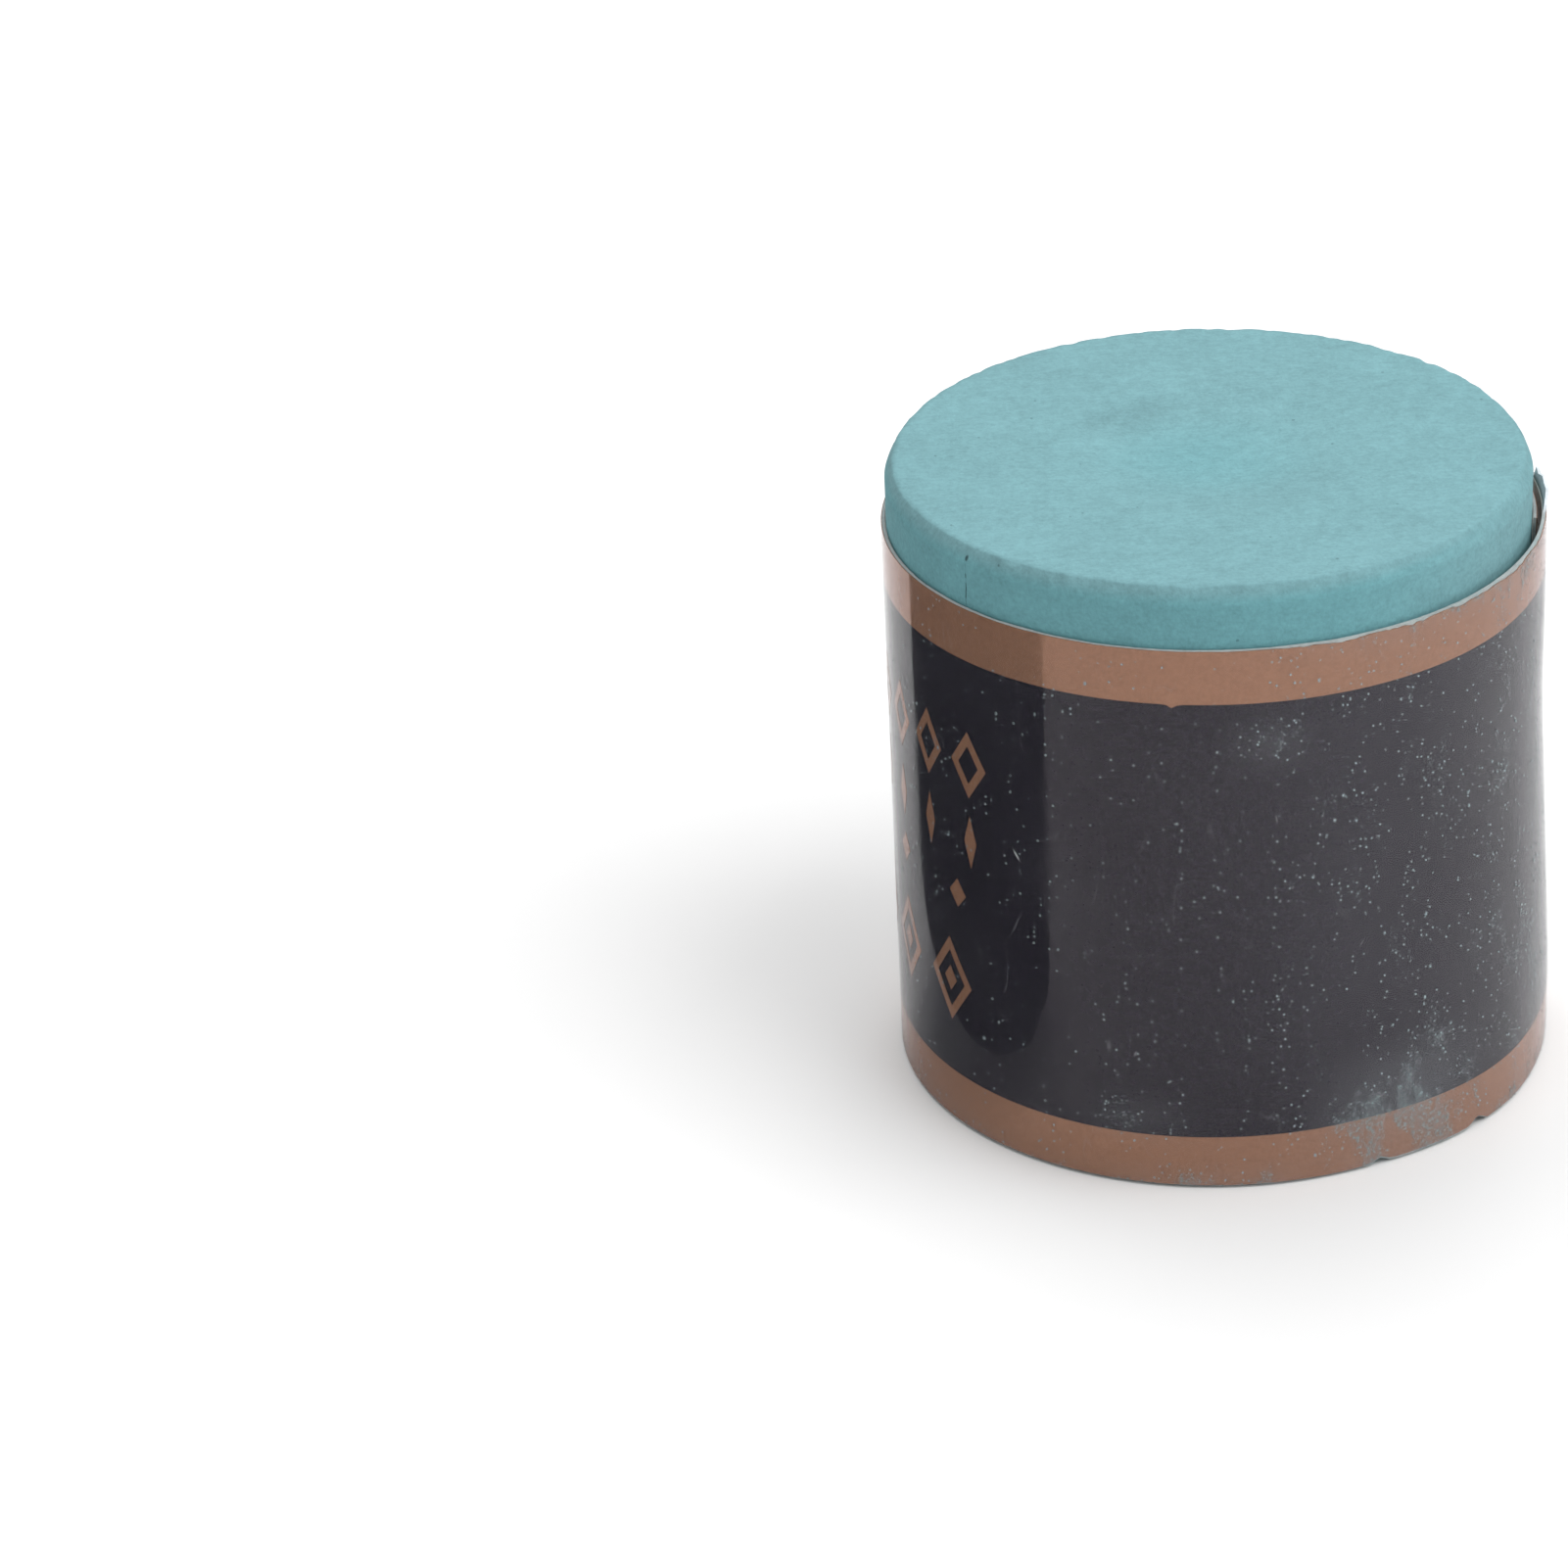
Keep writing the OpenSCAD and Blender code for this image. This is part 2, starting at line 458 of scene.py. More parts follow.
bm = flat_grid(420, 70)
wind(bm, GLUE_OUT, PAPER_OUT, paper_low, paper_high)
paper = to_piece(bm, "label_stock", "label_paper", CREASE)

# %% Prints
bm = flat_grid(420, 24)
wind(bm, PAPER_OUT, PRINT_OUT, lambda a: FIELD_LOW, field_high, up=1)
black_print = to_piece(bm, "black_print", "black_field", CREASE)

bm = flat_grid(420, 8)
wind(bm, PAPER_OUT, PRINT_OUT, field_high, print_high)
upper_copper = to_piece(bm, "upper_copper_band", "upper_band", CREASE)

bm = flat_grid(420, 8)
wind(bm, PAPER_OUT, PRINT_OUT, print_low, lambda a: FIELD_LOW, up=1)
lower_copper = to_piece(bm, "lower_copper_band", "lower_band", CREASE)

# %% Film
FILM_IN = PRINT_OUT + 0.012 * MM
bm = flat_grid(420, 60)
wind(bm, FILM_IN, FILM_OUT, print_low, film_high)
film = to_piece(bm, "clear_film_wrap", "clear_film", CREASE)

# %% [markdown]
# ## The motif
#
# A generic pattern stands for the maker's lettering: rows of diamonds, like the sights on
# a table's rail. Copper ink is printed over the black, a hundredth of a millimetre
# proud of it. Each diamond is a four-sided circle, which an inset turns into an outline,
# and it is cut into short pieces so that it bends smoothly round the block.

# %% Motif
ROW_GAP = 0.7 * MM
OPEN_H, SLIM_H, SMALL_H, FRAMED_H = 2.5 * MM, 2 * MM, 1.1 * MM, 3.3 * MM
LINE_W = 0.3 * MM
LABEL_MID = (LABEL_LOW + LABEL_HIGH) / 2
SLIM_Z = LABEL_MID + SLIM_H / 2 + ROW_GAP / 2
OPEN_Z = SLIM_Z + SLIM_H / 2 + ROW_GAP + OPEN_H / 2
SMALL_Z = LABEL_MID - SMALL_H / 2 - ROW_GAP / 2
FRAMED_Z = SMALL_Z - SMALL_H / 2 - 2 * ROW_GAP - FRAMED_H / 2
INK_T = 0.006 * MM


def add_diamond(bm, azimuth, z, width, height, line=0):
    """Adds a flat diamond to bm, with X along the strip; with a line it is an outline."""
    made = bmesh.ops.create_circle(bm, cap_ends=True, segments=4, radius=0.5)
    verts = made["verts"]
    face = verts[0].link_faces[0]
    bmesh.ops.scale(bm, vec=(width, height, 1), verts=verts)
    if line:
        ring = bmesh.ops.inset_region(
            bm, faces=[face], thickness=line, use_boundary=True, use_even_offset=True)
        verts = list({v for f in ring["faces"] for v in f.verts})
        bmesh.ops.delete(bm, geom=[face], context="FACES_ONLY")
    place = (math.radians(azimuth) * BLOCK_R, z, 0)
    bmesh.ops.translate(bm, vec=place, verts=verts)


bm = bmesh.new()
for i in range(-2, 3):
    add_diamond(bm, 12 * i, OPEN_Z, 0.68 * OPEN_H, OPEN_H, LINE_W)
    add_diamond(bm, 12 * i, SLIM_Z, 0.3 * SLIM_H, SLIM_H)
for i in range(-1, 2):
    add_diamond(bm, 20 * i, SMALL_Z, 0.8 * SMALL_H, SMALL_H)
    add_diamond(bm, 17 * i, FRAMED_Z, 0.7 * FRAMED_H, FRAMED_H, LINE_W)
    add_diamond(bm, 17 * i, FRAMED_Z, 0.21 * FRAMED_H, 0.3 * FRAMED_H)
bmesh.ops.triangulate(bm, faces=bm.faces)
bmesh.ops.subdivide_edges(bm, edges=bm.edges, cuts=3, use_grid_fill=True)
bmesh.ops.solidify(bm, geom=bm.faces[:], thickness=1)
lowest = min(v.co.z for v in bm.verts)
strip = bm.verts.layers.float_vector.new("strip")
dust = bm.verts.layers.float.new("dust")
for vert in bm.verts:
    azimuth = math.degrees(vert.co.x / BLOCK_R)
    off = PRINT_OUT + (vert.co.z - lowest) * INK_T
    vert[strip] = (vert.co.x, vert.co.y, off)
    vert[dust] = dustiness(azimuth, vert.co.y)
    vert.co = on_strip(azimuth, vert.co.y, off)
bmesh.ops.recalc_face_normals(bm, faces=bm.faces)
motif = to_piece(bm, "copper_motif", "printed_motif", CREASE)

# %% [markdown]
# ## Helpers for materials
#
# A material is a net of nodes, and the same few nodes come back all the time: noise of a
# given size, a smooth step, a blend of two colours. A short function for each keeps the
# nets readable. Sizes are in metres, so a pattern is equally large on every piece.

# %% Node helpers
def new_material(name):
    """A material with a Principled shader, and the shader's node."""
    print("material:", name)
    material = bpy.data.materials.new(name)
    material.use_nodes = True
    return material, material.node_tree, material.node_tree.nodes["Principled BSDF"]


def add(tree, kind, inputs=None, **settings):
    """Adds a node, with its settings and the values or links of its inputs."""
    made = tree.nodes.new("ShaderNode" + kind)
    for name, value in settings.items():
        setattr(made, name, value)
    for name, value in (inputs or {}).items():
        if isinstance(value, bpy.types.NodeSocket):
            tree.links.new(value, made.inputs[name])
        else:
            made.inputs[name].default_value = value
    return made


def math_node(tree, operation, first, second=0.0, clamp=False):
    made = add(tree, "Math", {0: first, 1: second}, operation=operation, use_clamp=clamp)
    return made.outputs["Value"]


def stretch(tree, value, low, high, to_low=0.0, to_high=1.0):
    """Maps low..high to to_low..to_high, smoothly and clamped."""
    made = add(
        tree, "MapRange",
        {"Value": value, "From Min": low, "From Max": high, "To Min": to_low, "To Max": to_high},
        interpolation_type="SMOOTHSTEP",
    )
    return made.outputs["Result"]


def noise_value(tree, vector, size, detail=2.0, roughness=0.5):
    """Noise whose bumps are size metres across."""
    made = add(
        tree, "TexNoise",
        {"Vector": vector, "Scale": 1 / size, "Detail": detail, "Roughness": roughness},
    )
    return made.outputs["Fac"]


def blend_colors(tree, factor, first, second, blend_type="MIX"):
    made = add(
        tree, "Mix", {"Factor": factor, 6: first, 7: second}, data_type="RGBA",
        blend_type=blend_type,
    )
    return made.outputs[2]


# %% Marks, spots and groups
def mark(tree, vector, place, turn, size, soft=0.4):
    """1 inside one small ellipsoid at a place, and 0 outside it."""
    local = add(
        tree, "Mapping", {"Vector": vector, "Location": place, "Rotation": turn, "Scale": size},
        vector_type="TEXTURE",
    )
    away = add(tree, "VectorMath", {0: local.outputs["Vector"]}, operation="LENGTH")
    return stretch(tree, away.outputs["Value"], 1, soft)


def stretched(tree, vector, scale):
    """The vector multiplied part by part, which draws patterns out along an axis."""
    return add(tree, "VectorMath", {0: vector, 1: scale}, operation="MULTIPLY").outputs["Vector"]


def random_spots(tree, vector, spacing, radius, share):
    """Small round spots, one in each cell for a share of the cells."""
    cells = add(tree, "TexVoronoi", {"Vector": vector, "Scale": 1 / spacing})
    inside = stretch(tree, cells.outputs["Distance"], radius / spacing, 0.4 * radius / spacing)
    luck = add(tree, "SeparateColor", {"Color": cells.outputs["Color"]}).outputs["Red"]
    chosen = math_node(tree, "LESS_THAN", luck, share)
    return math_node(tree, "MULTIPLY", inside, chosen)


def new_group(name, inputs, outputs):
    """A node group, and the sockets inside it that give its inputs and take its outputs."""
    print("node group:", name)
    tree = bpy.data.node_groups.new(name, "ShaderNodeTree")
    for in_out, sockets in (("INPUT", inputs), ("OUTPUT", outputs)):
        for label, kind in sockets.items():
            tree.interface.new_socket(label, in_out=in_out, socket_type="NodeSocket" + kind)
    return tree, tree.nodes.new("NodeGroupInput").outputs, tree.nodes.new("NodeGroupOutput").inputs


# %% [markdown]
# ## Pressed powder
#
# Chalk is packed grains. Seen close up it has a fine even grain, soft mottling from the
# way the powder filled the mould, short streaks where tips have rubbed it, and a few pits
# and pale specks. The group gives those as a tone round 1 and as a height, and each
# material sets its own colour.

# %% Node group: pressed powder
RUBBED_ALONG = math.radians(78)

powder, given, wanted = new_group(
    "pressed_powder", {"Vector": "Vector"}, {"Tone": "Float", "Height": "Float"})
place = given["Vector"]
grain = noise_value(powder, place, 0.13 * MM, 4, 0.7)
lumps = noise_value(powder, place, 0.42 * MM, 2, 0.6)
mottling = noise_value(powder, place, 2.4 * MM, 2)
rubbed = add(
    powder, "Mapping", {"Vector": place, "Rotation": (0, 0, -RUBBED_ALONG)}, vector_type="POINT")
streaks = stretched(powder, rubbed.outputs["Vector"], (0.25, 1, 1))
streaks = noise_value(powder, streaks, 0.15 * MM, 2)
pits = random_spots(powder, place, 0.8 * MM, 0.07 * MM, 0.35)
specks = random_spots(powder, stretched(powder, place, (1, 1, 1.01)), 0.67 * MM, 0.06 * MM, 0.25)
tone = stretch(powder, grain, 0.25, 0.75, 0.91, 1.08)
for layer, low, high in ((lumps, -0.05, 0.05), (mottling, -0.035, 0.035), (streaks, -0.04, 0.04)):
    tone = math_node(powder, "ADD", tone, stretch(powder, layer, 0.25, 0.75, low, high))
# Painted shade: pits are darkened in the tone, and also sunk in the height below
tone = math_node(powder, "SUBTRACT", tone, math_node(powder, "MULTIPLY", pits, 0.3))
tone = math_node(powder, "ADD", tone, math_node(powder, "MULTIPLY", specks, 0.16))
height = math_node(powder, "ADD", grain, math_node(powder, "MULTIPLY", lumps, 2.4))
height = math_node(powder, "SUBTRACT", height, math_node(powder, "MULTIPLY", pits, 1.2))
powder.links.new(tone, wanted["Tone"])
powder.links.new(height, wanted["Height"])

# %% Chalk material
CHALK = (0.118, 0.285, 0.312, 1)
# The paler colour is the rubbed face's powder together with painted sheen
RUBBED_AND_SHEEN_CHALK = (0.142, 0.282, 0.306, 1)
CRACK_AT = 24

material, tree, shader = new_material("pressed_chalk")
place = add(tree, "TexCoord").outputs["Object"]
group = add(tree, "Group", {"Vector": place}, node_tree=powder)

# A hairline crack below the rim, with a small pit at its top. Both are painted dark in the colour,
# as painted shade inside them, and are sunk in the bump.
wobble = noise_value(tree, place, 0.5 * MM)
wander = add(tree, "VectorMath", {0: (0.12 * MM, 0.12 * MM, 0), "Scale": wobble}, operation="SCALE")
bent = add(tree, "VectorMath", {0: place, 1: wander.outputs["Vector"]}, operation="ADD").outputs[0]
turn = (0, 0, math.radians(CRACK_AT))
on_rim = heading(CRACK_AT) * BLOCK_R + Vector((0.06 * MM, 0.06 * MM, 0))
line_at = on_rim + Vector((0, 0, BLOCK_H - 1.4 * MM))
line = mark(tree, bent, line_at, turn, (0.035 * MM, 1 * MM, 1.05 * MM))
broken = stretch(tree, noise_value(tree, place, 0.2 * MM), 0.35, 0.55, 0.25, 1)
line = math_node(tree, "MULTIPLY", line, broken)
pit_at = on_rim + Vector((0, 0, BLOCK_H - 0.4 * MM))
pit = mark(tree, bent, pit_at, turn, (0.09 * MM, 0.5 * MM, 0.13 * MM))
crack = math_node(tree, "MAXIMUM", line, pit)

# Painted shade in the crack and the pit
dark = math_node(tree, "SUBTRACT", 1, math_node(tree, "MULTIPLY", crack, 0.72))
tone = math_node(tree, "MULTIPLY", group.outputs["Tone"], dark)

# The working face is paler than the rest, partly from its rubbed powder and partly as painted
# sheen.
# The side that faces the key light gets the same paler colour as painted sheen, and one wall of the
# dish is painted darker, as painted shade.
up = add(tree, "SeparateXYZ", {"Vector": place}).outputs["Z"]
on_face = stretch(tree, up, BLOCK_H - 0.6 * MM, BLOCK_H - 0.1 * MM)
# Painted shade: one wall of the dish is darkened in the colour
painted_dish_shade_at = round_the_side @ Vector((-2.6 * MM, 3.1 * MM, BLOCK_H))
painted_dish_shade_turn = (0, 0, CAMERA_AZIMUTH + math.radians(35))
painted_dish_shade = mark(tree, bent, painted_dish_shade_at, painted_dish_shade_turn, (3.4 * MM, 1.6 * MM, 1 * MM), 0.1)
tone = math_node(tree, "SUBTRACT", tone, math_node(tree, "MULTIPLY", painted_dish_shade, 0.15))
# Painted sheen: the side that faces the key light gets the paler colour
painted_sheen_size = (10 * MM, 10 * MM, 60 * MM)
painted_sheen_side = mark(tree, place, heading(140) * BLOCK_R, (0, 0, 0), painted_sheen_size, 0.3)
rubbed = math_node(tree, "MAXIMUM", on_face, painted_sheen_side)
base = blend_colors(tree, rubbed, CHALK, RUBBED_AND_SHEEN_CHALK)
toned = add(tree, "VectorMath", {0: base, "Scale": tone}, operation="SCALE")
tree.links.new(toned.outputs["Vector"], shader.inputs["Base Color"])
shader.inputs["Roughness"].default_value = 0.9
shader.inputs["Specular IOR Level"].default_value = 0.25
height = math_node(tree, "SUBTRACT", group.outputs["Height"], math_node(tree, "MULTIPLY", crack, 2))
bump = add(tree, "Bump", {"Height": height, "Strength": 0.55, "Distance": 0.03 * MM})
tree.links.new(bump.outputs["Normal"], shader.inputs["Normal"])
pressed_chalk.data.materials.append(material)

# %% [markdown]
# ## Loose dust
#
# The same dust lies on the film, the paper and the glue. Where there is little of it, it
# is a few separate specks. Where there is more, fine grains fill in between them, and a
# thin even veil dulls the gloss.

# %% Node group: chalk dust
dusting, given, wanted = new_group(
    "chalk_dust", {"Vector": "Vector", "Amount": "Float"}, {"Grains": "Float", "Veil": "Float"})
place = given["Vector"]
clouds = noise_value(dusting, stretched(dusting, place, (1, 1, 0.45)), 1.2 * MM, 3, 0.65)
clouds = stretch(dusting, clouds, 0.36, 0.68, 0.15, 1.7)
amount = math_node(dusting, "MULTIPLY", given["Amount"], clouds)
fine = noise_value(dusting, place, 0.13 * MM, 3, 0.65)
packed = math_node(dusting, "MULTIPLY", math_node(dusting, "MINIMUM", amount, 0.8), 0.38)
filled = stretch(dusting, math_node(dusting, "ADD", fine, packed), 0.76, 0.92, 0, 0.62)
share = math_node(dusting, "MULTIPLY", amount, 2.3)
small = random_spots(dusting, place, 0.23 * MM, 0.058 * MM, share)
large = random_spots(dusting, stretched(dusting, place, (1, 1, 0.7)), 0.7 * MM, 0.08 * MM, share)
specks = math_node(dusting, "MAXIMUM", small, large)
specks = math_node(dusting, "MULTIPLY", specks, stretch(dusting, fine, 0.3, 0.6, 0.3, 0.95))
grains = math_node(dusting, "MAXIMUM", specks, filled)
dusting.links.new(grains, wanted["Grains"])
veil = math_node(dusting, "MULTIPLY", given["Amount"], 0.09)
veil = math_node(dusting, "ADD", veil, stretch(dusting, amount, 0.45, 1.2, 0, 0.09))
dusting.links.new(veil, wanted["Veil"])

# %% Dust in a material
DUST = (0.24, 0.35, 0.36, 1)


def read_attribute(tree, name, output):
    return add(tree, "Attribute", attribute_name=name).outputs[output]


def lay_dust(tree):
    """The dust group, with the label's own share of dust as its amount."""
    place = add(tree, "TexCoord").outputs["Object"]
    amount = read_attribute(tree, "dust", "Fac")
    return add(tree, "Group", {"Vector": place, "Amount": amount}, node_tree=dusting)


def dusted(tree, shader, color, strength):
    """Lays dust on a base colour and sets it on the shader."""
    group = lay_dust(tree)
    cover = math_node(tree, "ADD", group.outputs["Grains"], group.outputs["Veil"])
    cover = math_node(tree, "MULTIPLY", cover, strength, clamp=True)
    tree.links.new(blend_colors(tree, cover, color, DUST), shader.inputs["Base Color"])


# %% [markdown]
# ## Paper and glue
#
# The paper shows only at worn and torn edges, and the dried glue only on the inside of the
# loose part. Both are matt. The paper's fibres run along the strip, so its noise is drawn
# out that way. The torn tab shows the clean inside of the paper, and it is also painted
# whiter as painted light on that shaded inside, so it is whiter than the edges. The glue is
# smeared along the strip, and a little shiny in places.

# %% Paper material
PAPER_EDGE = (0.37, 0.4, 0.4, 1)
TORN_PAPER_AND_PAINTED_LIGHT = (0.66, 0.69, 0.72, 1)

material, tree, shader = new_material("paper")
strip = read_attribute(tree, "strip", "Vector")
fibres = noise_value(tree, stretched(tree, strip, (0.35, 1, 1)), 0.09 * MM, 4, 0.7)
patches = noise_value(tree, strip, 0.9 * MM, 3)
fibre_tone = math_node(tree, "ADD", stretch(tree, fibres, 0.25, 0.75, 0.8, 1.08),
                       stretch(tree, patches, 0.3, 0.7, -0.08, 0.06))
up = add(tree, "SeparateXYZ", {"Vector": strip}).outputs["Y"]
# The tab gets the whiter colour, partly as painted light on its shaded inside
torn = stretch(tree, up, LABEL_HIGH, LABEL_HIGH + 0.2 * MM)
stock = blend_colors(tree, torn, PAPER_EDGE, TORN_PAPER_AND_PAINTED_LIGHT)
stock = add(tree, "VectorMath", {0: stock, "Scale": fibre_tone}, operation="SCALE")
dusted(tree, shader, stock.outputs["Vector"], 0.8)
shader.inputs["Roughness"].default_value = 0.95
shader.inputs["Specular IOR Level"].default_value = 0.2
bump = add(tree, "Bump", {"Height": fibres, "Strength": 0.6, "Distance": 0.02 * MM})
tree.links.new(bump.outputs["Normal"], shader.inputs["Normal"])
paper.data.materials.append(material)

# %% Glue material
THIN_GLUE = (0.5, 0.5, 0.46, 1)
THICK_GLUE = (0.68, 0.67, 0.62, 1)

material, tree, shader = new_material("dried_glue")
strip = read_attribute(tree, "strip", "Vector")
smears = noise_value(tree, stretched(tree, strip, (0.2, 1, 1)), 0.4 * MM, 4, 0.6)
glue_color = blend_colors(tree, stretch(tree, smears, 0.35, 0.65), THIN_GLUE, THICK_GLUE)
dusted(tree, shader, glue_color, 0.6)
tree.links.new(stretch(tree, smears, 0.3, 0.7, 0.45, 0.8), shader.inputs["Roughness"])
bump = add(tree, "Bump", {"Height": smears, "Strength": 0.5, "Distance": 0.02 * MM})
tree.links.new(bump.outputs["Normal"], shader.inputs["Normal"])
glue.data.materials.append(material)

# %% [markdown]
# ## Print under gloss
#
# The two inks share one surface, because the same clear film lies over both. It isn't
# perfectly flat: it follows the paper's fibres and has a slow ripple along the strip,
# which makes reflections waver. The group gives that as a height and as a roughness.

# %% Node group: glossy surface over print
gloss, given, wanted = new_group(
    "film_gloss", {"Vector": "Vector"}, {"Height": "Float", "Roughness": "Float"})
strip = given["Vector"]
slow = noise_value(gloss, stretched(gloss, strip, (1, 0.35, 1)), 1.1 * MM, 2)
quick = noise_value(gloss, strip, 0.22 * MM, 2)
rubbed = noise_value(gloss, stretched(gloss, strip, (1, 0.25, 1)), 0.9 * MM, 4, 0.65)
height = math_node(gloss, "ADD", slow, math_node(gloss, "MULTIPLY", quick, 0.12))
gloss.links.new(height, wanted["Height"])
gloss.links.new(stretch(gloss, rubbed, 0.35, 0.75, 0.07, 0.2), wanted["Roughness"])


def glossy_print(name, light, dark, size, metal=0.0):
    """A print material: a mottled ink colour under the film's gloss."""
    material, tree, shader = new_material(name)
    strip = read_attribute(tree, "strip", "Vector")
    mottle = stretch(tree, noise_value(tree, strip, size, 4, 0.75), 0.3, 0.7)
    tree.links.new(blend_colors(tree, mottle, light, dark), shader.inputs["Base Color"])
    group = add(tree, "Group", {"Vector": strip}, node_tree=gloss)
    tree.links.new(group.outputs["Roughness"], shader.inputs["Roughness"])
    height = group.outputs["Height"]
    bump = add(tree, "Bump", {"Height": height, "Strength": 1, "Distance": 0.008 * MM})
    tree.links.new(bump.outputs["Normal"], shader.inputs["Normal"])
    shader.inputs["Specular IOR Level"].default_value = 0.34
    shader.inputs["Specular Tint"].default_value = (1, 0.95, 1.02, 1)
    shader.inputs["Metallic"].default_value = metal
    return material


# %% Print materials
black = glossy_print(
    "black_print", (0.011, 0.0085, 0.014, 1), (0.007, 0.0055, 0.009, 1), 0.2 * MM)
black_print.data.materials.append(black)
copper = glossy_print(
    "copper_print", (0.295, 0.153, 0.094, 1), (0.225, 0.115, 0.07, 1), 0.1 * MM, metal=0.35)
for piece in (upper_copper, lower_copper, motif):
    piece.data.materials.append(copper)

# %% [markdown]
# ## The film's dust and scratches
#
# The gloss is already on the prints, so the film itself shows only what lies on it. Its
# opacity is a mask: dust, hair-thin scratches, and a few deeper marks.

# %% Film material
HAZE = (0.4, 0.41, 0.44, 1)
GRAINS = (0.29, 0.36, 0.37, 1)
SCRATCH = (0.6, 0.62, 0.62, 1)

material, tree, shader = new_material("dusty_film")
strip = read_attribute(tree, "strip", "Vector")
group = lay_dust(tree)
contour = noise_value(tree, stretched(tree, strip, (1, 0.3, 1)), 2.2 * MM, 2)
contour = math_node(tree, "ABSOLUTE", math_node(tree, "SUBTRACT", contour, 0.5))
hairline = stretch(tree, contour, 0.004, 0.001)
here = stretch(tree, noise_value(tree, strip, 1.7 * MM, 3), 0.52, 0.62)
scratches = math_node(tree, "MULTIPLY", math_node(tree, "MULTIPLY", hairline, here), 0.07)

# Each deep scratch has an azimuth, a height and a half length in mm, a lean in degrees, and
# a strength
DEEP_SCRATCHES = (
    (35, 11.9, 0.3, 35, 0.45), (57, 5.2, 0.16, -20, 0.25),
    (81, 14.2, 0.2, 10, 0.2), (96, 9, 0.2, -30, 0.15),
)
deep = 0.0
for azimuth, z, length, lean, strength in DEEP_SCRATCHES:
    at = (math.radians(azimuth) * BLOCK_R, z * MM, 0)
    scratch = mark(tree, strip, at, (0, 0, math.radians(lean)), (0.035 * MM, length * MM, 1))
    deep = math_node(tree, "MAXIMUM", math_node(tree, "MULTIPLY", scratch, strength), deep)

bright = math_node(tree, "MAXIMUM", scratches, deep)
grey = math_node(tree, "MULTIPLY", group.outputs["Grains"], 0.62)
cover = math_node(tree, "MAXIMUM", math_node(tree, "MAXIMUM", grey, group.outputs["Veil"]), bright)
tree.links.new(cover, shader.inputs["Alpha"])
grainy = stretch(tree, group.outputs["Grains"], 0, 0.3)
dust_color = blend_colors(tree, grainy, HAZE, GRAINS)
film_color = blend_colors(tree, bright, dust_color, SCRATCH)
tree.links.new(film_color, shader.inputs["Base Color"])
shader.inputs["Roughness"].default_value = 0.9
shader.inputs["Specular IOR Level"].default_value = 0.1
film.data.materials.append(material)

# %% [markdown]
# ## The studio
#
# The floor is pale and plain. One large soft light stands to the right of the camera,
# another hangs behind the chalk, and a weak one fills in from the left. A gloss label needs
# something dark to reflect, or its shape is lost. So a dark card stands close by on the left,
# and a grey sheet on the floor round it is a painted shadow, which the label reflects. They
# show in the gloss and nowhere else.

# %% Floor
FLOOR_R = 1.5
bm = bmesh.new()
bmesh.ops.create_circle(bm, cap_ends=True, segments=96, radius=FLOOR_R)
floor = to_object(bm, "floor")
material, tree, shader = new_material("floor")
shader.inputs["Base Color"].default_value = (0.74, 0.74, 0.74, 1)
shader.inputs["Roughness"].default_value = 0.95
shader.inputs["Specular IOR Level"].default_value = 0.0
floor.data.materials.append(material)

# %% Dark card
CARD_SIZE = Vector((4 * MM, 12 * MM, 21 * MM))
CARD_AT = Vector((-15.2 * MM, -8.4 * MM, CARD_SIZE.z / 2))


def show_in_gloss_only(card):
    card.visible_camera = False
    card.visible_diffuse = False
    card.visible_shadow = False


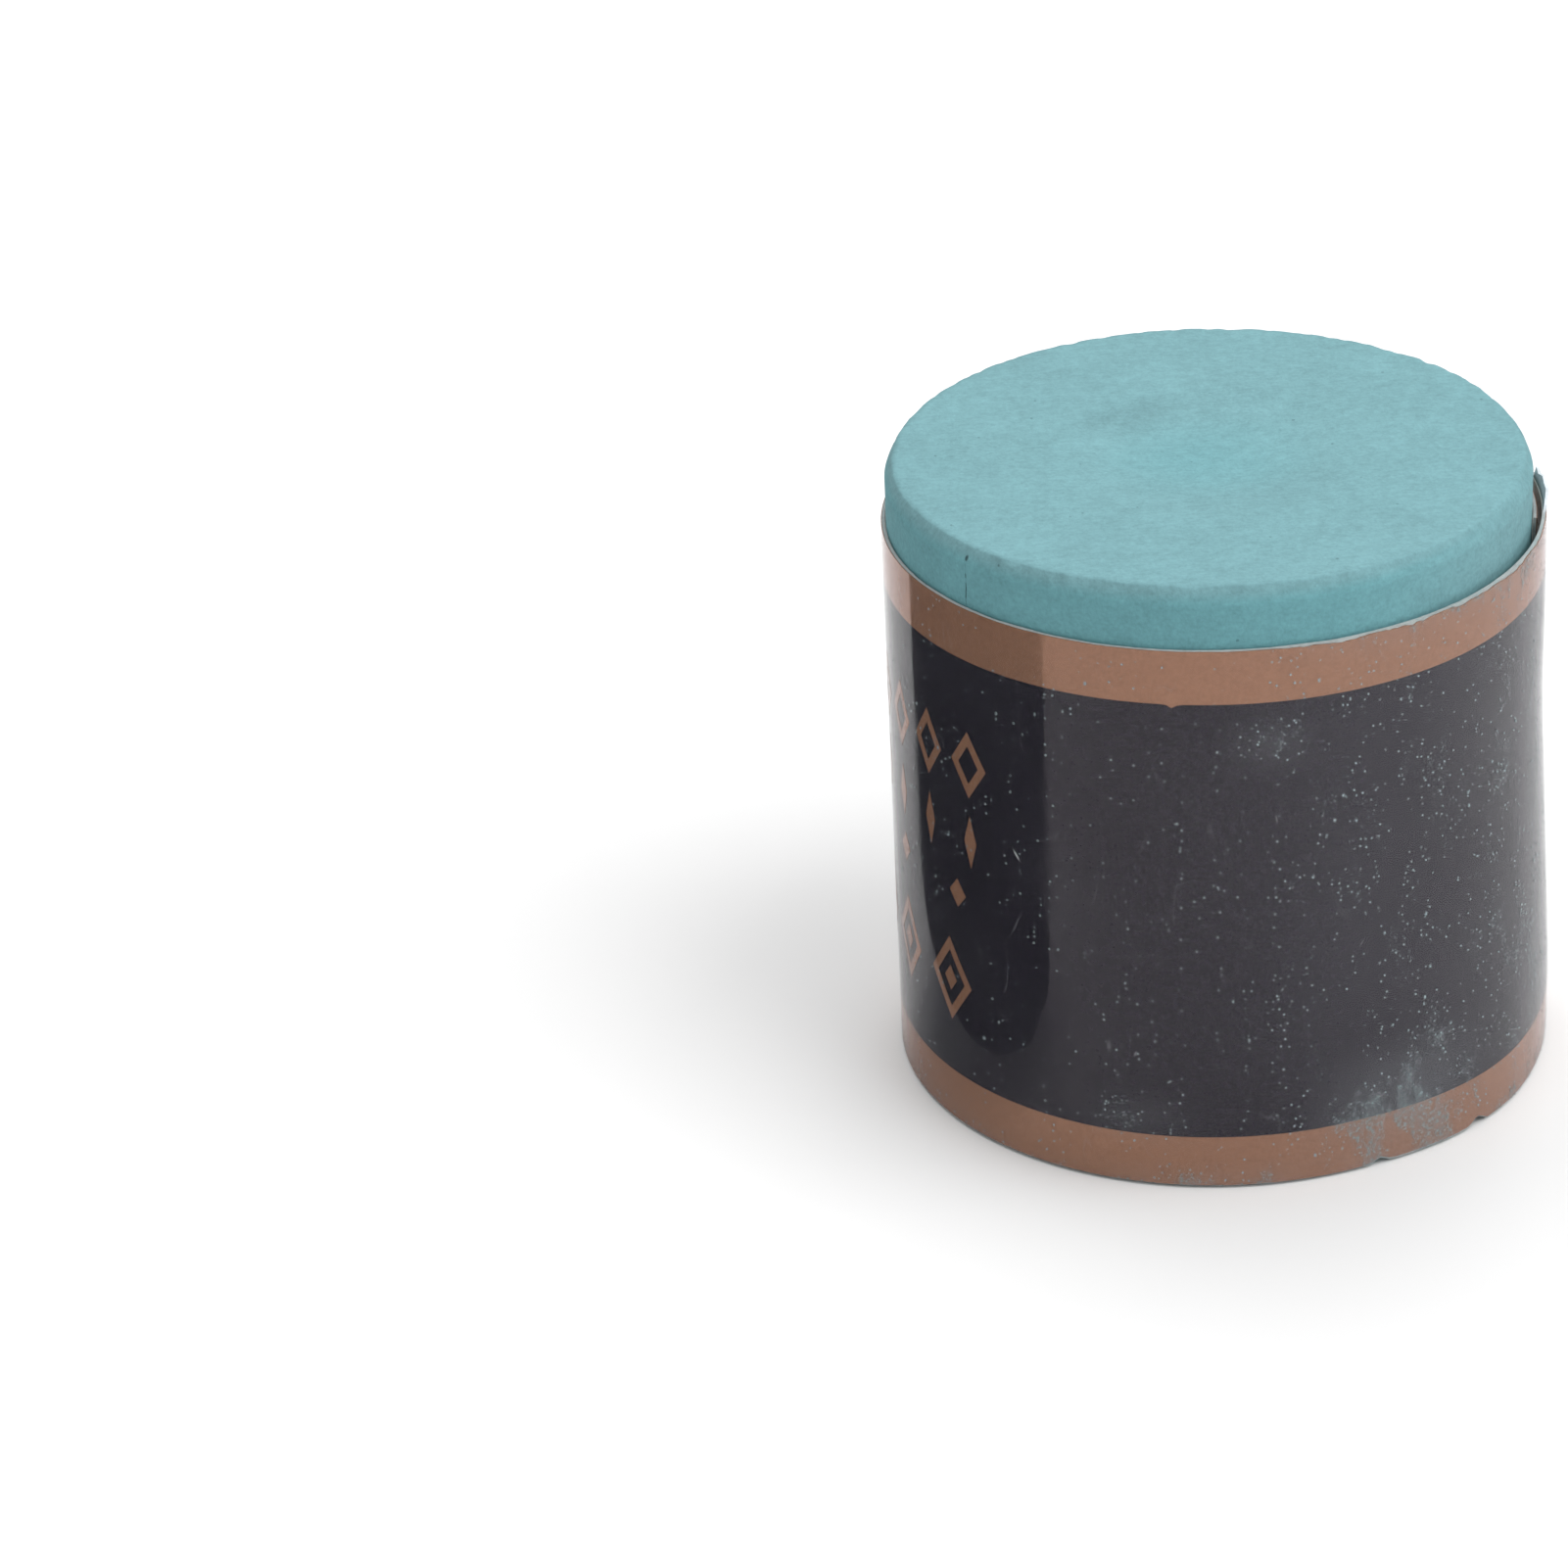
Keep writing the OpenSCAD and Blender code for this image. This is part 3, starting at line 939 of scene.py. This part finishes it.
bm = bmesh.new()
bmesh.ops.create_cube(bm, size=1)
bmesh.ops.scale(bm, vec=CARD_SIZE, verts=bm.verts)
for side, offset in ((1, 8 * MM), (-1, 3.5 * MM)):
    foot = [
        e for e in bm.edges
        if all(v.co.z < -10 * MM and v.co.y * side > 5 * MM for v in e.verts)
    ]
    bmesh.ops.bevel(
        bm, geom=foot, affect="EDGES", offset=offset, segments=8, profile=0.5, material=-1)
bmesh.ops.translate(bm, verts=bm.verts, vec=CARD_AT)
bmesh.ops.transform(bm, matrix=round_the_side.to_4x4(), verts=bm.verts)
card = to_object(bm, "dark_card")
material, tree, shader = new_material("dark_card")
shader.inputs["Base Color"].default_value = (0.11, 0.14, 0.155, 1)
shader.inputs["Roughness"].default_value = 0.8
card.data.materials.append(material)
show_in_gloss_only(card)

# %% Grey sheet, a painted shadow on the floor
SHEET_R = 10 * MM
bm = bmesh.new()
bmesh.ops.create_circle(bm, cap_ends=True, segments=48, radius=SHEET_R)
sheet = to_object(bm, "painted_shadow_sheet")
sheet.location = round_the_side @ Vector((-17 * MM, -8 * MM, 0.05 * MM))
material, tree, shader = new_material("painted_shadow_sheet")
# The grey is painted shadow, fading out towards the sheet's rim
shader.inputs["Base Color"].default_value = (0.28, 0.29, 0.3, 1)
shader.inputs["Roughness"].default_value = 0.9
place = add(tree, "TexCoord").outputs["Object"]
away = add(tree, "VectorMath", {0: place}, operation="LENGTH").outputs["Value"]
tree.links.new(stretch(tree, away, SHEET_R, 0.5 * SHEET_R), shader.inputs["Alpha"])
sheet.data.materials.append(material)
show_in_gloss_only(sheet)

# %% Lights
world = bpy.data.worlds.new("studio")
world.use_nodes = True
world.node_tree.nodes["Background"].inputs["Color"].default_value = (1, 1, 1, 1)
world.node_tree.nodes["Background"].inputs["Strength"].default_value = 0.3
bpy.context.scene.world = world


def softbox(name, towards, distance, size, watts):
    """A square light that faces the chalk; towards is seen from the camera's side."""
    data = bpy.data.lights.new(name, "AREA")
    data.energy = watts
    data.size = size
    lamp = bpy.data.objects.new(name, data)
    lamp.location = round_the_side @ (distance * Vector(towards).normalized())
    lamp.rotation_euler = (-lamp.location).to_track_quat("-Z", "Y").to_euler()
    bpy.context.scene.collection.objects.link(lamp)
    print("light:", name, watts, "W")


softbox("key_light", (0.6, -0.25, 0.76), 0.5, 0.45, 2.6)
softbox("top_light", (-0.1, 0.45, 0.88), 0.5, 0.5, 2.2)
softbox("fill_light", (-0.35, -0.75, 0.56), 0.6, 0.5, 0.85)

# %% Colour
bpy.context.scene.view_settings.view_transform = "Standard"
